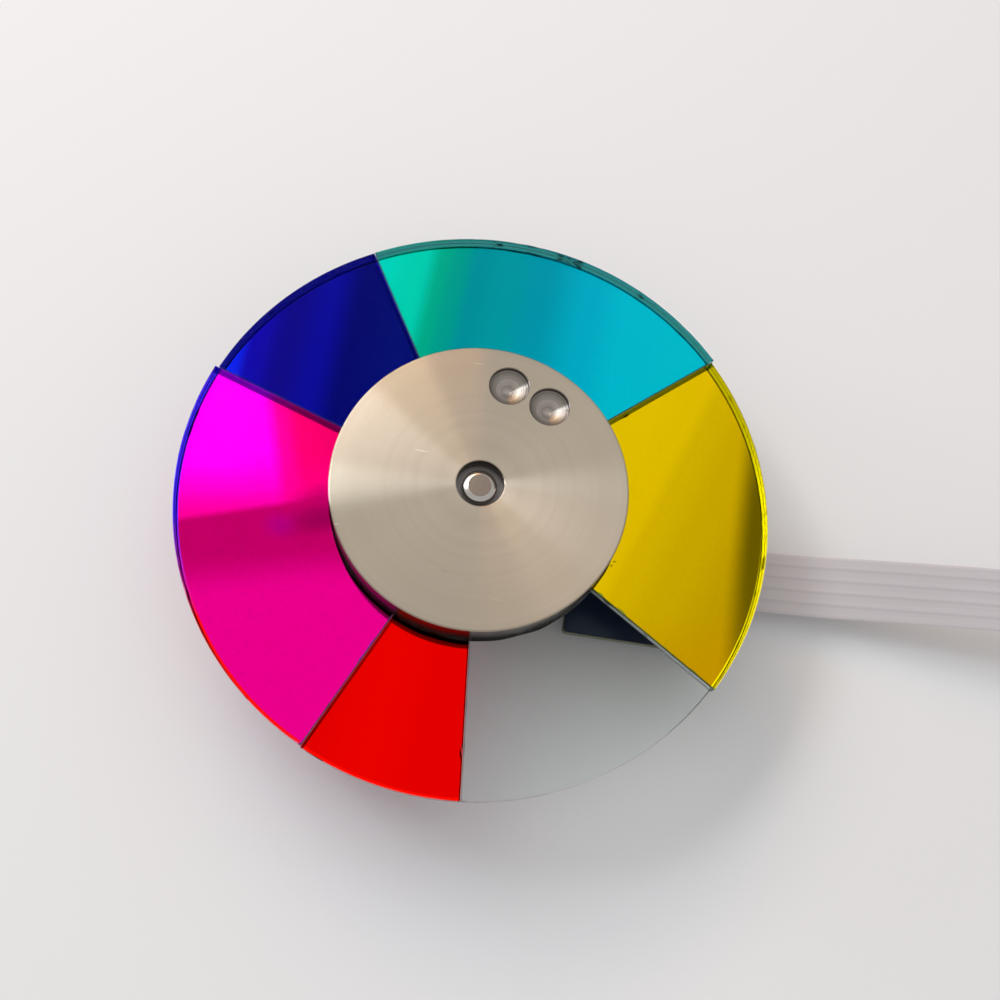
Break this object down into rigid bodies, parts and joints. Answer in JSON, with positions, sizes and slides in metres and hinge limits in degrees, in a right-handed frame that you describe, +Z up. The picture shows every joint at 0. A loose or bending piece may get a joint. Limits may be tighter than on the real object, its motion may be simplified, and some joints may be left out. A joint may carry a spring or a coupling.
{
  "type": "projector color wheel",
  "caption": "Ring of dichroic glass sectors under a balanced metal cap, turned by a flat brushless motor with a flat cable; it filters a lamp's light into colors in turn.",
  "frame": {"origin": "centre of the circle of screw holes in the motor base's bottom face, on the spin axis", "axes": "+Z up along the spin axis, from the motor base to the cap; +X the way the board's tail and the flat cable leave"},
  "size_m": [0.1159, 0.0439, 0.0125],
  "materials": {
    "turned_aluminium": "fine lathe finish",
    "hub_aluminium": "turned",
    "cup_steel": "nickel plated, satin",
    "shaft_steel": "ground and polished",
    "base_aluminium": "turned",
    "housing_brass": "turned",
    "sleeve_bronze": "sintered, oiled",
    "cover_steel": "stamped",
    "core_steel": "stamped laminations",
    "copper_wire": "enamelled wire",
    "solder": "flowed solder",
    "tinned_copper": "tin plated",
    "thrust_plastic": "machined",
    "insulator_plastic": "moulded",
    "washer_plastic": "stamped film",
    "board_laminate": "navy solder mask on glass-epoxy",
    "cable_film": "white polyester film",
    "stiffener_film": "blue polyester tape",
    "tape_black": "matt black film",
    "magnet": "bonded magnet",
    "clear_glue": "cured clear adhesive",
    "yellow_glass": "dichroic coated",
    "cyan_glass": "dichroic coated",
    "blue_glass": "dichroic coated",
    "magenta_glass": "dichroic coated",
    "red_glass": "dichroic coated",
    "clear_glass": "anti-reflection coated"
  },
  "bodies": {
    "stator": {"base_plate": "base_aluminium", "bearing_housing": "housing_brass", "bearing_sleeve": "sleeve_bronze", "thrust_cover": "cover_steel", "thrust_pad": "thrust_plastic", "circuit_board": "board_laminate", "stator_core": "core_steel", "upper_insulator": "insulator_plastic", "lower_insulator": "insulator_plastic", "coil_windings": "copper_wire", "winding_leads": "copper_wire", "lead_joints": "solder", "flat_cable": "cable_film", "cable_joints": "solder", "cable_stiffener": "stiffener_film", "cable_contacts": "tinned_copper"},
    "rotor": {"shaft": "shaft_steel", "retaining_washer": "washer_plastic", "hub": "hub_aluminium", "rotor_cup": "cup_steel", "magnet_ring": "magnet", "timing_tape": "tape_black", "lower_glue": "clear_glue", "upper_glue": "clear_glue", "balance_cap": "turned_aluminium", "filter_yellow": "yellow_glass", "filter_cyan": "cyan_glass", "filter_blue": "blue_glass", "filter_magenta": "magenta_glass", "filter_red": "red_glass", "filter_clear": "clear_glass"}
  },
  "joints": [
    {"name": "wheel_spin", "type": "hinge", "parent": "stator", "child": "rotor", "pos_m": [0, 0, 0], "axis": [0, 0, 1], "continuous": true}
  ]
}
